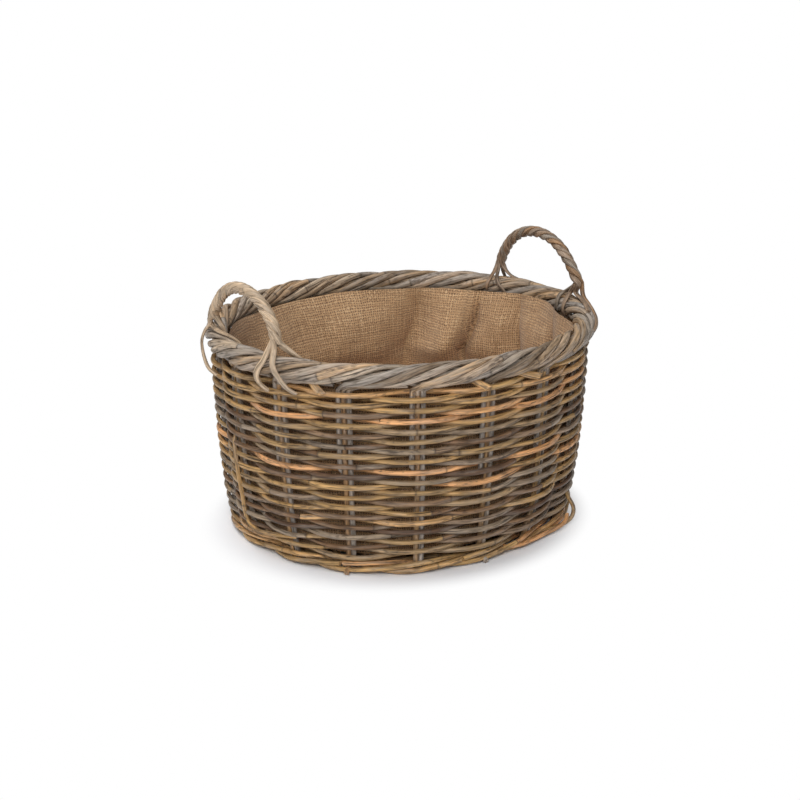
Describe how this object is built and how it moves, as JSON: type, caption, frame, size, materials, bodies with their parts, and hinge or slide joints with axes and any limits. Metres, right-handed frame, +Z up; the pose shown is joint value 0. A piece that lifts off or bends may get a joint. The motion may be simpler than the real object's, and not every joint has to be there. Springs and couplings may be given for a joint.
{
  "type": "log carrier basket",
  "caption": "Round-oval woven cane log basket with a roped rim, two arched rope handles and a hessian lining.",
  "frame": {"origin": "on the floor plane under the middle of the basket, at the bottom centre of its box", "axes": "+Z up, +X through the two handles towards the right one, +Y across the basket"},
  "size_m": [0.539, 0.492, 0.3653],
  "materials": {
    "stake_cane": "matt",
    "weaver_cane": "satin",
    "rim_cane": "matt",
    "grey_handle_cane": "matt",
    "pale_handle_cane": "matt",
    "base_cane": "matt",
    "hessian": "matt"
  },
  "bodies": {
    "root": {"stake_group_01": "stake_cane", "stake_group_02": "stake_cane", "stake_group_03": "stake_cane", "stake_group_04": "stake_cane", "stake_group_05": "stake_cane", "stake_group_06": "stake_cane", "stake_group_07": "stake_cane", "stake_group_08": "stake_cane", "stake_group_09": "stake_cane", "stake_group_10": "stake_cane", "stake_group_11": "stake_cane", "stake_group_12": "stake_cane", "stake_group_13": "stake_cane", "stake_group_14": "stake_cane", "stake_group_15": "stake_cane", "stake_group_16": "stake_cane", "stake_group_17": "stake_cane", "wall_weaver_01": "weaver_cane", "wall_weaver_02": "weaver_cane", "wall_weaver_03": "weaver_cane", "wall_weaver_04": "weaver_cane", "wall_weaver_05": "weaver_cane", "wall_weaver_06": "weaver_cane", "wall_weaver_07": "weaver_cane", "wall_weaver_08": "weaver_cane", "wall_weaver_09": "weaver_cane", "wall_weaver_10": "weaver_cane", "wall_weaver_11": "weaver_cane", "wall_weaver_12": "weaver_cane", "foot_wale": "weaver_cane", "rim_core": "rim_cane", "rim_strand_01": "rim_cane", "rim_strand_02": "rim_cane", "rim_strand_03": "rim_cane", "rim_strand_04": "rim_cane", "rim_strand_05": "rim_cane", "rim_strand_06": "rim_cane", "rim_strand_07": "rim_cane", "rim_strand_08": "rim_cane", "rim_strand_09": "rim_cane", "right_handle_strand_01": "grey_handle_cane", "right_handle_strand_02": "grey_handle_cane", "right_handle_strand_03": "grey_handle_cane", "right_handle_strand_04": "grey_handle_cane", "left_handle_strand_01": "pale_handle_cane", "left_handle_strand_02": "pale_handle_cane", "left_handle_strand_03": "pale_handle_cane", "left_handle_strand_04": "pale_handle_cane", "base_hoop": "base_cane", "base_stick_01": "base_cane", "base_stick_02": "base_cane", "base_stick_03": "base_cane", "base_stick_04": "base_cane", "base_stick_05": "base_cane", "base_stick_06": "base_cane", "base_stick_07": "base_cane", "base_weaver": "base_cane", "hessian_lining": "hessian"}
  },
  "joints": []
}
